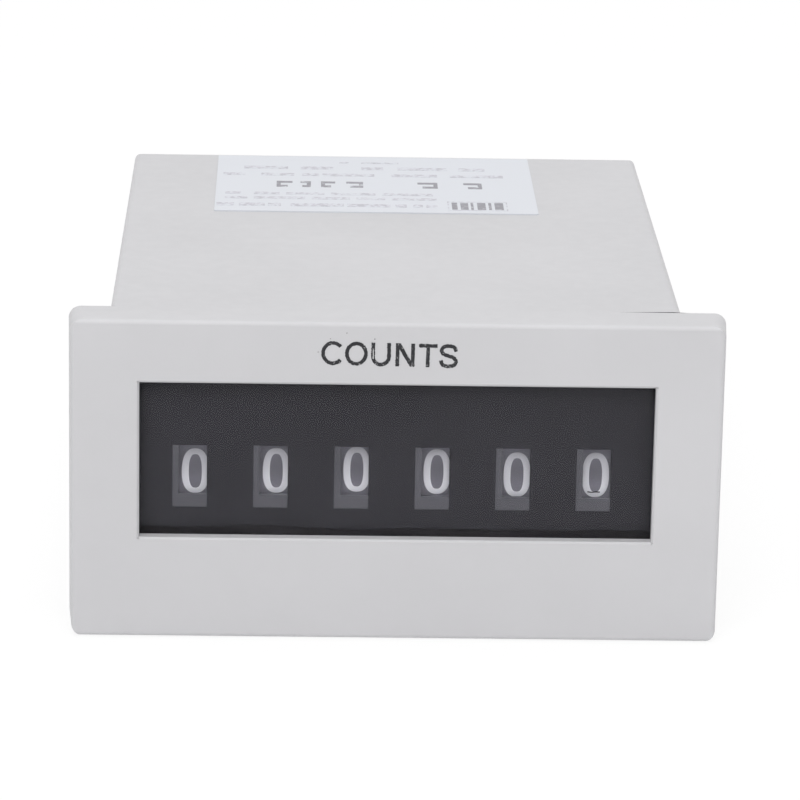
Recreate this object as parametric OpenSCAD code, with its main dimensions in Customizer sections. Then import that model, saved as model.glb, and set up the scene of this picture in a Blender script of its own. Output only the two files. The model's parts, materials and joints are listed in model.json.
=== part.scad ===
// Six-digit electromechanical pulse counter for a 48 x 24 mm panel place, in millimetres.
// The front faces -Y, +X is the viewer's right and +Z is up.
// The origin is the middle of the plane in which the bezel seats on the panel.
// Each pulse swings an armature, whose anchor steps the units wheel by one digit.
// Two teeth on each wheel's carry ring turn the transfer pinion of the next wheel once a turn.

/* [Bezel] */
// Width of the bezel's rim beside the housing
rim_x = 2.5; // [1.6:0.1:5]
// Height of the bezel's rim above and below the housing
rim_z = 1.35; // [1:0.05:4]
// Depth of the lip in front of the window
lip_d = 0.95; // [0.7:0.05:3]
// Radius of the bezel's four corners
bezel_corner_r = 0.9; // [0.5:0.1:1.5]
// Rounding of the bezel's front edges
bezel_edge_r = 0.35; // [0.1:0.05:0.5]
// Flare of the bezel's sides from the front to the panel
bezel_flare = 0.33; // [0:0.01:0.6]
// Bevel round the window opening
opening_bevel = 0.15; // [0.05:0.05:0.5]

/* [Window] */
// Side margin of the opening beyond the six wheel places
opening_side = 1; // [0.3:0.05:1.1]
// Top of the opening above the wheel axis
opening_up = 7.45; // [4:0.05:9]
// Bottom of the opening below the wheel axis
opening_down = 4.45; // [3.2:0.05:8]
// Thickness of the clear window
window_t = 1.2; // [0.8:0.1:2.5]
// Margin of the window behind the lip
window_margin = 1.2; // [0.5:0.1:1.6]

/* [Digit mask] */
// Thickness of the mask
mask_t = 0.5; // [0.3:0.05:1.5]
// Width of a digit cut-out
cutout_w = 2.55; // [2:0.05:4]
// Height of a digit cut-out
cutout_h = 4.8; // [3.6:0.1:6]
// Sideways offset of the cut-outs from the wheels
cutout_x = -0.3; // [-0.5:0.02:0.5]
// Height of the cut-outs' middle from the wheel axis
cutout_z = -0.21; // [-0.6:0.02:0.6]
// Gap between the opening's sill and the mask's lower edge
mask_gap = 0.34; // [0:0.02:0.5]

/* [Sight frame] */
// Thickness of the frame between the mask and the chassis
sight_t = 0.25; // [0.2:0.05:0.4]
// Width of a sight
sight_w = 2.8; // [2.2:0.1:3.4]
// Height of a sight
sight_h = 4.0; // [3:0.1:5]
// Rim above and below the sights
sight_rim = 1.2; // [0.6:0.1:1.5]
// Sideways offset of the sights from the wheels
sight_x = 0.14; // [-0.5:0.02:0.5]
// Height of the sights' middle from the wheel axis
sight_z = 0.27; // [-0.6:0.01:0.6]

/* [Housing] */
// Wall of the housing
wall = 1.3; // [0.8:0.1:2.5]
// Rear wall of the housing
rear_wall = 1.6; // [1:0.1:3]
// Depth to which the housing enters the bezel
housing_lap = 1.2; // [1:0.1:3]
// Radius of the housing's long edges
housing_edge_r = 0.6; // [0.2:0.1:1]
// Height of the clip teeth on the housing's sides
tooth_rise = 0.5; // [0.2:0.1:0.9]
// Spacing of the clip teeth
tooth_pitch = 1.6; // [1.2:0.1:3]
// Number of clip teeth on each side
clip_teeth = 14; // [6:1:18]

/* [Label] */
// Width of the label
label_w = 26.5; // [15:0.5:32]
// Depth of the label
label_d = 19.8; // [10:0.2:24]
// Thickness of the label
label_t = 0.1; // [0.05:0.05:0.3]
// Sideways offset of the label
label_x = -1.05; // [-4:0.05:4]

/* [Number wheels] */
// Distance between neighbouring wheels
wheel_pitch = 6.0; // [5.5:0.1:8]
// Radius of a number drum
drum_r = 8.0; // [7:0.1:10]
// Gap between the sight frame and the drums
drum_gap = 0.25; // [0.2:0.05:2]
// Room above and below the drums
drum_room = 1.55; // [1:0.05:5]
// Diameter of the wheel shaft
shaft_d = 2.0; // [1.4:0.1:3]
// Wall of a wheel's hub
hub_wall = 1.2; // [0.6:0.1:1.8]
// Thickness of a drum's web
web_t = 1.0; // [0.6:0.1:1.6]

/* [Carry train] */
// Width of a wheel's gear
gear_w = 1.0; // [0.8:0.05:1.4]
// Width of a carry ring
carry_w = 0.7; // [0.5:0.05:1]
// Gap between a gear and the next wheel's carry ring
carry_gap = 0.3; // [0.25:0.05:0.6]
// Diameter of the pinion shaft
pinion_shaft_d = 0.9; // [0.6:0.1:1.4]
// Gap between the drums and the pinion shaft
pinion_shaft_gap = 0.51; // [0.3:0.01:1.5]
// Tooth thinning at the pitch circle
backlash = 0.1; // [0.06:0.01:0.16]

/* [Chassis] */
// Thickness of the side plates
plate_t = 1.1; // [0.8:0.1:2]
// Thickness of the front rail under the sights
rail_t = 0.4; // [0.3:0.05:0.5]
// Thickness of the cross wall
cross_t = 1.2; // [0.8:0.1:2]
// Gap between the pinions and the cross wall
cross_gap = 0.8; // [0.4:0.1:2]
// Thickness of the floor tray
tray_t = 0.9; // [0.8:0.1:1.5]
// Half width of the floor tray
tray_half = 10; // [9:0.5:15]

/* [Escapement] */
// Thickness of the anchor lever
lever_t = 0.5; // [0.4:0.05:1.2]
// Depth of the star's teeth
star_depth = 1.2; // [0.8:0.1:1.6]
// Length of a pallet
pallet_l = 3.2; // [2.6:0.1:3.6]
// Width of the anchor's limbs
limb_w = 1.5; // [1:0.1:2]
// Width of the bar across the armature
bar_w = 2.4; // [2:0.1:3]

/* [Electromagnet] */
// Length of the bobbin
coil_l = 22; // [16:0.5:30]
// Side of the bobbin's square flanges
flange_side = 14; // [12:0.2:14.4]
// Thickness of the bobbin's flanges
flange_t = 1.2; // [0.8:0.1:2]
// Diameter of the core
core_d = 6; // [4:0.2:7]
// Wall of the bobbin's tube
tube_wall = 0.9; // [0.6:0.1:1.5]
// Outer diameter of the winding
winding_d = 12.8; // [10:0.2:13.4]
// Thickness of the yoke
yoke_t = 1.2; // [1:0.1:1.8]
// Width of the yoke between its ears
yoke_w = 14; // [12:0.5:17]
// Thickness of the armature
armature_t = 1.2; // [0.8:0.1:1.6]
// Air gap between the armature and the core at rest
pole_gap = 1.3; // [1.2:0.05:2.5]
// Gap between the cross wall and the armature
armature_room = 1.8; // [1.5:0.1:4]
// Diameter of the armature's pin
pin_d = 1.0; // [0.7:0.1:1.2]
// Room between the yoke and the rear wall
rear_room = 5.2; // [3.5:0.1:9]

/* [Terminals] */
// Width of a blade
blade_w = 2.8; // [2:0.1:4]
// Thickness of a blade
blade_t = 0.5; // [0.3:0.1:0.8]
// Length of a blade behind the housing
blade_l = 7; // [4:0.5:10]
// Distance between the blades
blade_pitch = 18.4; // [17.6:0.2:26]

/* [Clearances] */
// Radial clearance of a running fit
run_c = 0.05; // [0.02:0.01:0.08]
// Clearance of a fixed fit
fit_c = 0.1; // [0.05:0.01:0.15]
// Clearance between the chassis and the housing
slip_c = 0.2; // [0.1:0.05:0.3]
// Clearance between parts that pass each other
pass_c = 0.2; // [0.15:0.01:0.25]
// Clearance between the window and the mask
window_c = 0.05; // [0.02:0.01:0.1]

/* [Hidden] */
$fn = 64;
WHEELS = ["hundred_thousands_wheel", "ten_thousands_wheel", "thousands_wheel",
    "hundreds_wheel", "tens_wheel", "units_wheel"];
PINIONS = ["carry_pinion_1", "carry_pinion_2", "carry_pinion_3", "carry_pinion_4", "carry_pinion_5"];

// Colours
shell_grey = [0.80, 0.80, 0.81];
clear_grey = [0.75, 0.80, 0.85, 0.4];
mask_black = [0.16, 0.16, 0.17];
sight_grey = [0.36, 0.36, 0.38];
drum_black = [0.20, 0.20, 0.22];
paper_white = [0.95, 0.95, 0.96];
frame_black = [0.12, 0.12, 0.13];
pinion_ivory = [0.88, 0.85, 0.76];
steel = [0.62, 0.63, 0.65];
copper = [0.72, 0.40, 0.20];
brass = [0.78, 0.65, 0.35];

// Small amount by which a cut passes a face
eps = 0.5;

// Widths, from the wheel train outwards
wheel_count = len(WHEELS);
train_half = wheel_count * wheel_pitch / 2;
plate_in = train_half + lever_t + 2 * pass_c;
plate_out = plate_in + plate_t;
cavity_x = plate_out + slip_c;
housing_x = cavity_x + wall;
bezel_x = housing_x + rim_x;
opening_x = train_half + opening_side;

// Heights, from the drums outwards
cavity_z = drum_r + drum_room;
housing_z = cavity_z + wall;
bezel_z = housing_z + rim_z;
chassis_z = cavity_z - slip_c;
opening_h = opening_up + opening_down;
opening_mid = (opening_up - opening_down) / 2;

// Depths, from the panel plane to the front
housing_front = -housing_lap;
sight_back = housing_front + sight_t;
mask_front = housing_front - mask_t;
window_back = mask_front - window_c;
window_front = window_back - window_t;
bezel_front = window_front - lip_d;

// Number wheel, in its own place along the shaft
drum_w = wheel_pitch - gear_w - carry_w - carry_gap;
drum_face = drum_w / 2;
gear_end = drum_face + gear_w;
ring_end = -drum_face - carry_w;
end_float = carry_gap / 3;
hub_overrun = (carry_gap - end_float) / 2;
bore_r = shaft_d / 2 + run_c;
hub_r = bore_r + hub_wall;
wheel_y = sight_back + drum_gap + drum_r;
function wheel_x(i) = (i - (wheel_count - 1) / 2) * wheel_pitch;

// Gears: the wheel's gear has two teeth for each digit
gear_teeth = 20;
pinion_teeth = 8;
pressure_angle = 28;
addendum = 0.85;
dedendum = 1.1;
flank_steps = 3;
flank_lift = 0.01;
centre_distance = drum_r + pinion_shaft_gap + pinion_shaft_d / 2;
gear_module = 2 * centre_distance / (gear_teeth + pinion_teeth);
function pitch_r(teeth) = gear_module * teeth / 2;
function tip_r(teeth) = pitch_r(teeth) + addendum * gear_module;
function root_r(teeth) = pitch_r(teeth) - dedendum * gear_module;
carry_ring_r = pitch_r(gear_teeth);
ring_in_r = root_r(gear_teeth) - web_t / 2;
pinion_y = wheel_y + centre_distance;
pinion_hub_r = pinion_shaft_d / 2 + run_c + web_t / 2;

// Escapement: star of ten teeth beside the units drum
star_teeth = 10;
star_tip = root_r(gear_teeth);
star_root = star_tip - star_depth;
pallet_angle = 50;
pallet_half = 0.5;
anchor_r = 2.9;
lever_x = train_half + pass_c;

// Depths, from the wheel train to the rear
cross_front = pinion_y + tip_r(pinion_teeth) + cross_gap;
cross_back = cross_front + cross_t;
armature_front = cross_back + armature_room;
armature_back = armature_front + armature_t;
hinge_y = (armature_front + armature_back) / 2;
pole_y = armature_back + pole_gap;
pole_proud = 0.3;
bobbin_front = pole_y + pole_proud;
bobbin_back = bobbin_front + coil_l;
yoke_back = bobbin_back + yoke_t;
cavity_back = yoke_back + rear_room;
housing_back = cavity_back + rear_wall;
chassis_front = sight_back;
chassis_back = cavity_back - slip_c;

// Heights of the magnet, from the tray upwards
tray_top = tray_t - chassis_z;
yoke_top = tray_top + yoke_t;
flange_lift = 0.2;
coil_z = yoke_top + flange_lift + flange_side / 2;
pin_r = pin_d / 2;
knuckle_wall = 0.5;
knuckle_r = pin_r + run_c + knuckle_wall;
hinge_z = tray_top + knuckle_r + 2 * slip_c;
armature_top = coil_z + flange_side / 2;
leg_top = coil_z + core_d;
swing_room = 1.1;

// Square of sides w and h about the origin with corners of radius r
module rounded_square(w, h, r) {
    square([w - 2 * r, h], center = true);
    square([w, h - 2 * r], center = true);
    for (x = [-1, 1], z = [-1, 1])
        translate([x * (w / 2 - r), z * (h / 2 - r)]) circle(r);
}

// Half-plane outline |x| < half and y > 0, with corners of radius r at y = 0, to the depth d
module rounded_end(half, d, r) {
    translate([-half, r]) square([2 * half, d - r]);
    translate([r - half, 0]) square([2 * (half - r), d]);
    for (x = [-1, 1])
        translate([x * (half - r), r]) circle(r);
}

// Turns an outline in X and Z into a slab from y0 to y1
module slab_y(y0, y1) {
    translate([0, y1, 0]) rotate([90, 0, 0]) linear_extrude(y1 - y0) children();
}

// Turns an outline in Y and Z into a slab from x0 to x1
module slab_x(x0, x1) {
    translate([x0, 0, 0]) rotate([90, 0, 90]) linear_extrude(x1 - x0) children();
}

// Cylinder along X from x0 to x1
module rod_x(r, x0, x1) {
    translate([x0, 0, 0]) rotate([0, 90, 0]) cylinder(r = r, h = x1 - x0);
}

// Cylinder along Y from y0 to y1
module rod_y(r, y0, y1) {
    translate([0, y1, 0]) rotate([90, 0, 0]) cylinder(r = r, h = y1 - y0);
}

// Box between two corners
module block(low, high) {
    translate(low) cube(high - low);
}

// Block of half sizes hx and hz from y0 to y1 with round long edges and round edges at its y0 end
module shell_block(hx, hz, y0, y1, corner_r, edge_r) {
    intersection() {
        slab_y(y0, y1) rounded_square(2 * hx, 2 * hz, corner_r);
        translate([0, y0, -hz]) linear_extrude(2 * hz) rounded_end(hx, y1 - y0, edge_r);
        slab_x(-hx, hx) translate([y0, 0]) rotate(-90) rounded_end(hz, y1 - y0, edge_r);
    }
}

// Half-plane outline that widens from half at y = 0 to half + flare at the depth d, with corners of radius r
module flared_end(half, flare, d, r) {
    draft = atan(flare / d);
    middle = half - r * tan(45 - draft / 2);
    touch = [middle + r * cos(draft), r - r * sin(draft)];
    polygon([[-middle, 0], [middle, 0], touch, [half + flare, d], [-half - flare, d], [-touch[0], touch[1]]]);
    for (x = [-1, 1])
        translate([x * middle, r]) circle(r);
}

// Long bar with round corners whose right side leans out by the angle draft from the line x = hx at y0
module leaning_bar(hx, hz, y0, d, draft, corner_r) {
    wide = 2 * (hx + d + corner_r);
    translate([hx, y0, 0]) rotate(-draft) translate([-wide / 2, 0, 0])
        slab_y(-wide, wide) rounded_square(wide, 2 * hz, corner_r);
}

// Block like shell_block, whose sides flare out towards y1
module flared_block(hx, flare, hz, y0, y1, corner_r, edge_r) {
    d = y1 - y0;
    draft = atan(flare / d);
    intersection() {
        leaning_bar(hx, hz, y0, d, draft, corner_r);
        mirror([1, 0, 0]) leaning_bar(hx, hz, y0, d, draft, corner_r);
        translate([0, y0, -hz]) linear_extrude(2 * hz) flared_end(hx, flare, d, edge_r);
        slab_x(-hx - flare, hx + flare) translate([y0, 0]) rotate(-90) rounded_end(hz, d, edge_r);
    }
}

// Bead or groove along Z that holds the bezel on the housing, one on each side
module snap_beads(r) {
    bead_half = cavity_z / 2;
    for (side = [-1, 1])
        translate([side * housing_x, housing_front / 2, -bead_half]) cylinder(r = r, h = 2 * bead_half);
}
bead_r = housing_lap / 4;

// Four-sided bevel round an opening of half sizes hx and hz at the front plane y0
module opening_bevels(hx, hz, y0, b) {
    for (side = [-1, 1]) {
        translate([0, 0, side * hz]) slab_x(-hx - b, hx + b)
            polygon([[y0 - eps, side * (b + eps)], [y0 - eps, 0], [y0 + b, 0], [y0, side * b]]);
        translate([side * hx, 0, -hz - b]) linear_extrude(2 * (hz + b))
            polygon([[side * (b + eps), y0 - eps], [0, y0 - eps], [0, y0 + b], [side * b, y0]]);
    }
}

module bezel() {
    color(shell_grey) difference() {
        flared_block(bezel_x, bezel_flare, bezel_z, bezel_front, 0, bezel_corner_r, bezel_edge_r);
        slab_y(mask_front, eps) square(2 * [housing_x + fit_c, housing_z + fit_c], center = true);
        translate([0, 0, opening_mid]) {
            slab_y(window_front, mask_front + eps)
                square([window_w(), window_h()] + 2 * [fit_c, fit_c], center = true);
            slab_y(bezel_front - eps, window_front + eps) square([2 * opening_x, opening_h], center = true);
            opening_bevels(opening_x, opening_h / 2, bezel_front, opening_bevel);
        }
        snap_beads(bead_r + fit_c);
    }
}

function window_w() = 2 * (opening_x + window_margin);
function window_h() = opening_h + 2 * window_margin;

module window() {
    color(clear_grey) translate([0, 0, opening_mid])
        slab_y(window_front, window_back) rounded_square(window_w(), window_h(), window_margin / 2);
}

// The mask's lower edge was cut by hand, so it waves a little. Pairs of x and rise above its nominal line.
mask_wave = [[-12.6, 0.01], [-10.8, 0.2], [-8.6, 0.2], [-6.6, 0.03], [-2.2, -0.12], [-0.9, -0.12],
    [-0.2, 0.05]];

module digit_mask() {
    low = mask_gap - opening_down;
    half = housing_x - fit_c;
    top = housing_z - fit_c;
    color(mask_black) slab_y(mask_front, housing_front) difference() {
        polygon(concat([[half, low], [half, top], [-half, top], [-half, low]],
            [for (p = mask_wave) [p[0], low + p[1]]]));
        for (i = [0 : wheel_count - 1])
            translate([wheel_x(i) + cutout_x, cutout_z]) square([cutout_w, cutout_h], center = true);
    }
}

// Strip with six sights, held between the mask and the chassis
module sight_frame() {
    color(sight_grey) slab_y(housing_front, sight_back) difference() {
        translate([0, sight_z]) square([2 * plate_out, sight_h + 2 * sight_rim], center = true);
        for (i = [0 : wheel_count - 1])
            translate([wheel_x(i) + sight_x, sight_z]) square([sight_w, sight_h], center = true);
    }
}

// Row of ratchet teeth on the right side that a panel clip locks on
module clip_rack() {
    rack_half = cavity_z / 3;
    first = tooth_pitch * 5;
    for (i = [0 : clip_teeth - 1])
        translate([housing_x, first + i * tooth_pitch, -rack_half]) linear_extrude(2 * rack_half)
            polygon([[-eps, 0], [0, 0], [tooth_rise, tooth_pitch * 0.15], [tooth_rise, tooth_pitch * 0.3],
                [0, tooth_pitch * 0.9], [-eps, tooth_pitch * 0.9]]);
}

module housing() {
    color(shell_grey) difference() {
        union() {
            translate([0, housing_back, 0]) rotate(180)
                shell_block(housing_x, housing_z, 0, housing_back - housing_front,
                    housing_edge_r, housing_edge_r / 2);
            clip_rack();
            mirror([1, 0, 0]) clip_rack();
            snap_beads(bead_r);
        }
        slab_y(housing_front - eps, cavity_back) square(2 * [cavity_x, cavity_z], center = true);
        for (side = [-1, 1])
            translate([side * blade_pitch / 2, 0, coil_z]) slab_y(cavity_back - eps, housing_back + eps)
                square([blade_t, blade_w] + 2 * [fit_c, fit_c], center = true);
    }
}

module label() {
    rear_margin = 0.8;
    back = housing_back - rear_margin;
    color(paper_white)
        block([label_x - label_w / 2, back - label_d, housing_z],
            [label_x + label_w / 2, back, housing_z + label_t]);
}

// Boss that keeps the wheels from running against a side plate
module shaft_boss(x0, x1) {
    translate([0, wheel_y, 0]) rod_x(hub_r - hub_wall / 3, x0, x1);
}

module chassis() {
    notch_low = hinge_z + knuckle_r;
    notch_top = notch_low + (armature_top - notch_low) / 2;
    boss_left = wheel_x(0) + ring_end - hub_overrun - end_float;
    boss_right = wheel_x(wheel_count - 1) + gear_end + hub_overrun + end_float;
    rail_low = max(-chassis_z, -opening_down - window_margin);
    color(frame_black) difference() {
        union() {
            block([-plate_out, chassis_front, rail_low],
                [plate_out, chassis_front + rail_t, window_margin - opening_down]);
            for (side = [0, 1])
                mirror([side, 0, 0])
                    block([plate_in, chassis_front, -chassis_z], [plate_out, cross_back, chassis_z]);
            block([-plate_out, cross_front, -chassis_z], [plate_out, cross_back, chassis_z]);
            block([-tray_half, cross_front, -chassis_z], [tray_half, chassis_back, tray_top]);
            shaft_boss(-plate_out, boss_left);
            shaft_boss(boss_right, plate_out);
        }
        translate([0, wheel_y, 0]) rod_x(shaft_d / 2 + run_c, -plate_out - eps, plate_out + eps);
        translate([0, pinion_y, 0]) rod_x(pinion_shaft_d / 2 + run_c, -plate_out - eps, plate_out + eps);
        block([lever_x - lever_t, cross_front - eps, notch_low], [plate_in, cross_back + eps, notch_top]);
        yoke_screw_places() {
            translate([0, 0, -chassis_z - eps]) cylinder(r = screw_r + fit_c, h = tray_t + 2 * eps);
            translate([0, 0, -chassis_z - eps]) cylinder(r = screw_head_r + fit_c, h = screw_head_t + eps);
        }
    }
}

module wheel_shaft() {
    color(steel) translate([0, wheel_y, 0]) rod_x(shaft_d / 2, -plate_out, plate_out);
}

module pinion_shaft() {
    color(steel) translate([0, pinion_y, 0]) rod_x(pinion_shaft_d / 2, -plate_out, plate_out);
}

// Involute of an angle in degrees, in degrees
function inv(a) = tan(a) * 180 / PI - a;

// Half of the angle that a tooth takes up at the radius r
function half_tooth(teeth, r) =
    let (base = pitch_r(teeth) * cos(pressure_angle),
        at_pitch = 90 / teeth - backlash / pitch_r(teeth) * 90 / PI)
    at_pitch + inv(pressure_angle) - inv(acos(min(1, base / r)));

// Radii at which a flank is drawn, from the root to the tip
function flank_radii(teeth) = let (low = max(root_r(teeth), pitch_r(teeth) * cos(pressure_angle)))
    concat([root_r(teeth) - flank_lift],
        [for (k = [0 : flank_steps - 1])
            low + flank_lift + (tip_r(teeth) - low - flank_lift) * k / (flank_steps - 1)]);

// One tooth's outline, up its one flank and down the other, with the tooth's middle at the angle a
function tooth(teeth, a) = let (radii = flank_radii(teeth), n = len(radii))
    concat([for (k = [0 : n - 1]) polar(radii[k], a - half_tooth(teeth, radii[k]))],
        [for (k = [n - 1 : -1 : 0]) polar(radii[k], a + half_tooth(teeth, radii[k]))]);

function polar(r, a) = [r * cos(a), r * sin(a)];

// Whole gear's outline with a tooth's middle at the angle a
function gear_outline(teeth, a) = [for (i = [0 : teeth - 1]) each tooth(teeth, a + i * 360 / teeth)];

// Star with blunt teeth, a tooth's middle at angle 0
function star_outline() = [for (i = [0 : star_teeth - 1]) let (a = i * 360 / star_teeth, s = 90 / star_teeth)
    each [polar(star_root, a - 2 * s), polar(star_tip, a - s / 4), polar(star_tip, a + s / 4)]];

// Turned section of a wheel: hub, web on the gear's side, thick rim and carry ring
module wheel_body() {
    hub_left = ring_end - hub_overrun;
    hub_right = gear_end + hub_overrun;
    rotate([0, 90, 0]) rotate_extrude() polygon([
        [bore_r, hub_left], [hub_r, hub_left], [hub_r, drum_face - web_t], [ring_in_r, drum_face - web_t],
        [ring_in_r, ring_end], [carry_ring_r, ring_end], [carry_ring_r, -drum_face], [drum_r, -drum_face],
        [drum_r, drum_face], [hub_r, drum_face], [hub_r, hub_right], [bore_r, hub_right]]);
}

// Number wheel of place i, counted from the left
module number_wheel(i) {
    is_units = i == wheel_count - 1;
    color(drum_black) translate([wheel_x(i), wheel_y, 0]) {
        difference() {
            union() {
                wheel_body();
                slab_x(drum_face - web_t / 2, gear_end)
                    polygon(is_units ? star_outline() : gear_outline(gear_teeth, 0));
            }
            rod_x(bore_r, -wheel_pitch, wheel_pitch);
        }
        if (i > 0) carry_teeth();
    }
}

// The two teeth on the carry ring, just past the pinion
module carry_teeth() {
    step = 360 / gear_teeth;
    slab_x(ring_end, -drum_face) for (k = [1, 2])
        polygon(tooth(gear_teeth, k * step));
}

// Transfer pinion between the wheels of places i and i + 1
module carry_pinion(i) {
    teeth_left = drum_face + pass_c;
    teeth_right = gear_end + pass_c / 2;
    hub_right = wheel_pitch - drum_face - pass_c;
    color(pinion_ivory) translate([wheel_x(i), pinion_y, 0]) difference() {
        union() {
            slab_x(teeth_left, teeth_right) polygon(gear_outline(pinion_teeth, 180 / pinion_teeth));
            rod_x(pinion_hub_r, teeth_left, hub_right);
        }
        rod_x(pinion_shaft_d / 2 + run_c, 0, wheel_pitch);
    }
}

// Lug on the bobbin's rear flange that grips a terminal, for side = -1 or 1
lug_d = 2.0;
lug_half = 1.6;
lug_floor = 0.4;
tail_y = bobbin_back - lug_d + lug_floor;
spring_peg_r = 0.4;

module coil_bobbin() {
    tube_r = core_d / 2 + run_c + tube_wall;
    color(pinion_ivory) difference() {
        union() {
            translate([0, 0, coil_z]) {
                for (y = [bobbin_front, bobbin_back - flange_t])
                    slab_y(y, y + flange_t) rounded_square(flange_side, flange_side, flange_t);
                rod_y(tube_r, bobbin_front, bobbin_back);
                for (side = [-1, 1])
                    block([side * blade_pitch / 2 - lug_half, bobbin_back - lug_d, -blade_w],
                        [side * blade_pitch / 2 + lug_half, bobbin_back, blade_w]);
                block([-blade_pitch / 2, bobbin_back - flange_t, -blade_w / 2],
                    [blade_pitch / 2, bobbin_back, blade_w / 2]);
            }
            translate([0, spring_foot_y(), armature_top]) cylinder(r = spring_peg_r, h = 2 * spring_t);
        }
        translate([0, 0, coil_z]) {
            rod_y(core_d / 2 + run_c, bobbin_front - eps, bobbin_back + eps);
            for (side = [-1, 1])
                translate([side * blade_pitch / 2, 0, 0]) slab_y(tail_y - fit_c, bobbin_back + eps)
                    square([blade_t, blade_w] + 2 * [fit_c, fit_c], center = true);
        }
    }
}

module coil_winding() {
    inner = core_d / 2 + run_c + tube_wall + run_c;
    low = bobbin_front + flange_t + run_c;
    high = bobbin_back - flange_t - run_c;
    color(copper) translate([0, 0, coil_z]) difference() {
        rod_y(winding_d / 2, low, high);
        rod_y(inner, low - eps, high + eps);
    }
}

stud_r = core_d / 3;
rivet_lip = 0.8;
rivet_r = stud_r + rivet_lip;
rivet_t = 0.6;

module magnet_core() {
    color(steel) translate([0, 0, coil_z]) {
        rod_y(core_d / 2, pole_y, bobbin_back);
        rod_y(stud_r, bobbin_back, yoke_back);
        rod_y(rivet_r, yoke_back, yoke_back + rivet_t);
    }
}

// Places of the two screws that hold the yoke on the tray
screw_r = 1.0;
screw_head_r = 1.7;
screw_head_t = 0.45;
module yoke_screw_places() {
    for (side = [-1, 1])
        translate([side * yoke_w / 3, (bobbin_front + bobbin_back) / 2, 0]) children();
}

module yoke_screws() {
    color(steel) yoke_screw_places() {
        translate([0, 0, -chassis_z]) cylinder(r = screw_head_r, h = screw_head_t);
        translate([0, 0, -chassis_z]) cylinder(r = screw_r, h = yoke_top + chassis_z);
    }
}

// Outline of a strip of the thickness t, bent with the outer radius r:
// its floor goes from y0 to y1 at z0, its leg stands at y1 up to z1
module bent_strip(y0, y1, z0, z1, t, r) {
    difference() {
        union() {
            translate([y0, z0]) square([y1 - y0, t]);
            translate([y1 - t, z0]) square([t, z1 - z0]);
        }
        difference() {
            translate([y1 - r, z0 - eps]) square([r + eps, r + eps]);
            translate([y1 - r, z0 + r]) circle(r);
        }
    }
}

// Ears at the yoke's front corners carry the armature's pin
ear_t = 1.0;
ear_in = yoke_w / 2 + pass_c;
module yoke() {
    floor_front = hinge_y + knuckle_r + pass_c;
    ear_r = knuckle_r;
    color(steel) difference() {
        union() {
            slab_x(-yoke_w / 2, yoke_w / 2)
                bent_strip(floor_front, yoke_back, tray_top, leg_top, yoke_t, yoke_t);
            block([-ear_in - ear_t, floor_front + ear_t, tray_top],
                [ear_in + ear_t, floor_front + 4 * ear_t, yoke_top]);
            for (side = [0, 1])
                mirror([side, 0, 0]) {
                    translate([0, hinge_y, hinge_z]) rod_x(ear_r, ear_in, ear_in + ear_t);
                    block([ear_in, hinge_y, hinge_z - ear_r],
                        [ear_in + ear_t, floor_front + 4 * ear_t, hinge_z + ear_r]);
                    block([ear_in, floor_front, tray_top],
                        [ear_in + ear_t, floor_front + 4 * ear_t, hinge_z]);
                }
        }
        translate([0, hinge_y, hinge_z])
            rod_x(pin_r + run_c, -ear_in - ear_t - eps, ear_in + ear_t + eps);
        translate([0, 0, coil_z]) rod_y(stud_r + run_c, bobbin_back - eps, yoke_back + eps);
        yoke_screw_places()
            translate([0, 0, tray_top - eps]) cylinder(r = screw_r + run_c, h = yoke_t + 2 * eps);
    }
}

module armature_pin() {
    color(steel) translate([0, hinge_y, hinge_z]) rod_x(pin_r, -ear_in - ear_t, ear_in + ear_t);
}

// Pegs of the anchor lever pass through the armature
peg_r = 0.7;
peg_x = yoke_w / 4;
bar_low = hinge_z + knuckle_r + knuckle_wall;
bar_high = bar_low + bar_w;
module peg_places() {
    for (side = [-1, 1])
        translate([side * peg_x, 0, (bar_low + bar_high) / 2]) children();
}

module armature() {
    half = yoke_w / 2 - pass_c;
    color(steel) difference() {
        union() {
            block([-half, armature_front, hinge_z], [half, armature_back, armature_top]);
            translate([0, hinge_y, hinge_z]) rod_x(knuckle_r, -half, half);
        }
        translate([0, hinge_y, hinge_z]) rod_x(pin_r + run_c, -half - eps, half + eps);
        peg_places() rod_y(peg_r + run_c, armature_front - eps, armature_back + eps);
    }
}

// Pallet that points at the wheel's axis from the angle a, its tip at the radius r
module pallet(a, r) {
    mid = r + pallet_l / 2;
    end = r + pallet_l;
    translate([wheel_y, 0]) rotate(a)
        polygon([[r, -pallet_half / 3], [r, pallet_half / 3], [mid, pallet_half], [end, pallet_half],
            [end, -pallet_half], [mid, -pallet_half]]);
}

// Anchor in the plane beside the star, arm under the pinion shaft, and bar across the armature
module anchor_lever() {
    bar_t = armature_room / 2;
    bar_front = armature_front - bar_t;
    in_r = star_root + pass_c;
    out_r = star_tip + pass_c;
    reach = pallet_l - limb_w / 2;
    upper = [wheel_y, 0] + polar(in_r + reach, pallet_angle);
    lower = [wheel_y, 0] + polar(out_r + reach, -pallet_angle);
    hole = [pinion_y, 0] - [swing_room, swing_room] / 3;
    color(pinion_ivory) {
        slab_x(lever_x, lever_x + lever_t) difference() {
            union() {
                pallet(pallet_angle, in_r);
                pallet(-pallet_angle, out_r);
                translate([pinion_y, 0]) circle(anchor_r);
                limb(upper, [pinion_y, 0], limb_w);
                limb(lower, [pinion_y, 0], limb_w);
                limb([pinion_y, 0], [bar_front + bar_t / 2, (bar_low + bar_high) / 2], bar_w);
                translate([bar_front, bar_low]) square([bar_t, bar_w]);
            }
            translate(hole) circle(pinion_shaft_d / 2 + swing_room);
        }
        block([-yoke_w / 2, bar_front, bar_low], [lever_x + lever_t, armature_front, bar_high]);
        peg_places() rod_y(peg_r, armature_front, armature_back);
    }
}

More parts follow.
